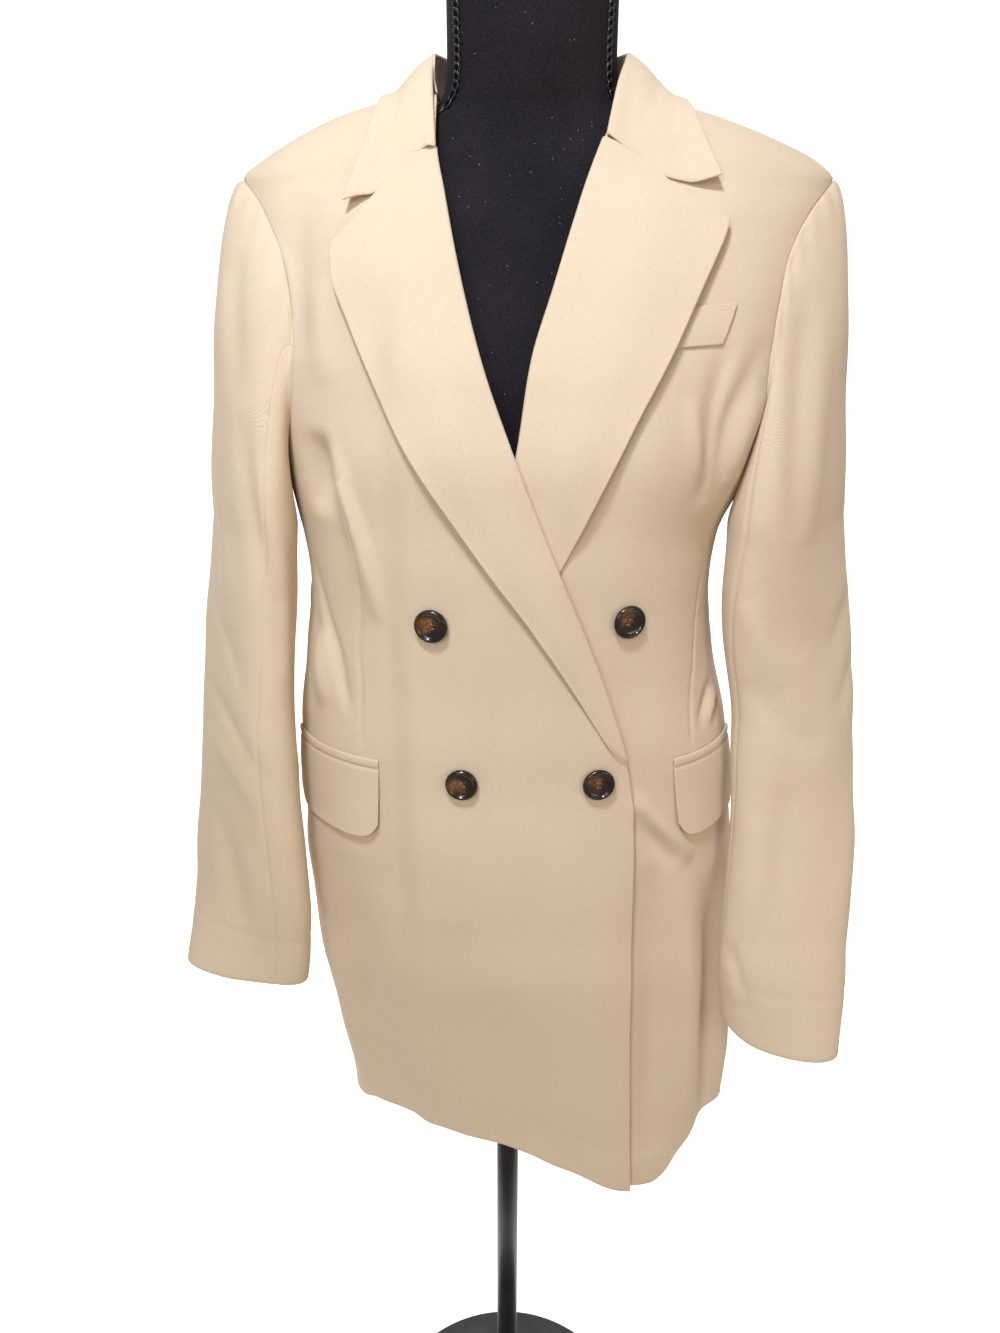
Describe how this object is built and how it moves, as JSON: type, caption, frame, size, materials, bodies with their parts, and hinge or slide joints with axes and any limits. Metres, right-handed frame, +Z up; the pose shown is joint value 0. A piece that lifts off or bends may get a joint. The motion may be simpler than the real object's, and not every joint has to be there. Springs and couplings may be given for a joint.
{
  "type": "double breasted blazer on dress form stand",
  "caption": "Long double-breasted blazer with peak lapels, flap pockets and a breast welt, resting on a limbless dress form with a pole and round base.",
  "frame": {"origin": "floor level, on the axis of the stand's pole, which is also under the middle of the whole part's box; the blazer's centre line is at x = 0.014", "axes": "+Z up, the blazer's front faces -Y, the wearer's right is -X"},
  "size_m": [0.567, 0.33, 1.512],
  "materials": {
    "blazer_cloth": "beige suiting twill with a faint sheen",
    "button_horn": "polished dark brown imitation horn, mottled",
    "form_jersey": "matt black jersey cover",
    "stand_metal": "satin dark grey"
  },
  "bodies": {
    "root": {"front_right": "blazer_cloth", "front_left": "blazer_cloth", "side_right": "blazer_cloth", "side_left": "blazer_cloth", "back_right": "blazer_cloth", "back_left": "blazer_cloth", "lapel_right": "blazer_cloth", "lapel_left": "blazer_cloth", "collar_leaf": "blazer_cloth", "collar_stand": "blazer_cloth", "sleeve_upper_right": "blazer_cloth", "sleeve_under_right": "blazer_cloth", "sleeve_upper_left": "blazer_cloth", "sleeve_under_left": "blazer_cloth", "flap_right": "blazer_cloth", "flap_left": "blazer_cloth", "jet_right": "blazer_cloth", "jet_left": "blazer_cloth", "breast_welt": "blazer_cloth", "button_upper_right": "button_horn", "button_upper_left": "button_horn", "button_lower_right": "button_horn", "button_lower_left": "button_horn", "form_torso": "form_jersey", "form_pole": "stand_metal", "form_clamp": "stand_metal", "form_base": "stand_metal"}
  },
  "joints": []
}
